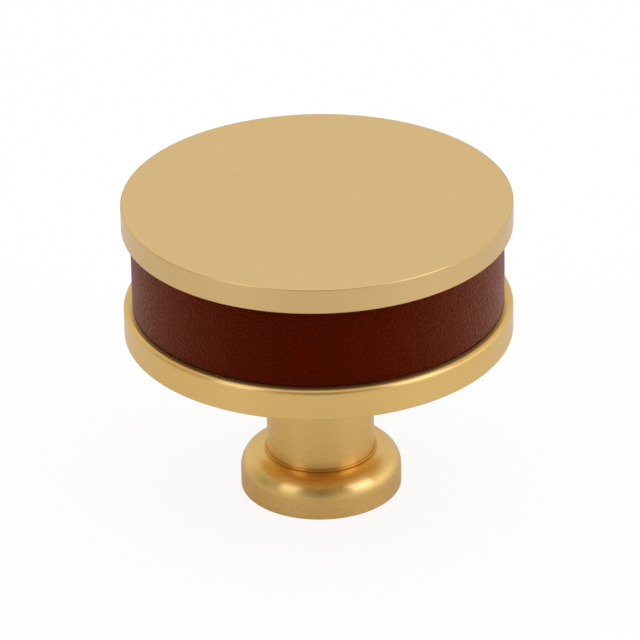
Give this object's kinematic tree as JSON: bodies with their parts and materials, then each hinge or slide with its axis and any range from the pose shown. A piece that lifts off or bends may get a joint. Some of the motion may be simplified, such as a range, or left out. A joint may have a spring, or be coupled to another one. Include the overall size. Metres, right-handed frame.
{
  "type": "cabinet knob",
  "caption": "Round brass cabinet knob with a leather-wrapped head on a slim turned stem and foot, fixed by a screw from behind.",
  "frame": {"origin": "centre of the foot's flat underside, which lies on the door", "axes": "+Z along the knob's axis, from the foot's underside out to the head's flat face; +Y towards the seam of the leather band; +X completes the right-handed frame"},
  "size_m": [0.0382, 0.0382, 0.0312],
  "materials": {
    "brass_cap": "satin, straight-grain brushed across the flat face",
    "brass_turned": "satin, brushed round the axis",
    "leather": "fine-grained oxblood leather, waxed",
    "steel": "plain zinc-plated thread"
  },
  "bodies": {
    "root": {"stem_foot": "brass_turned", "head_body": "brass_turned", "leather_band": "leather", "top_cap": "brass_cap", "joining_stud": "steel"}
  },
  "joints": []
}
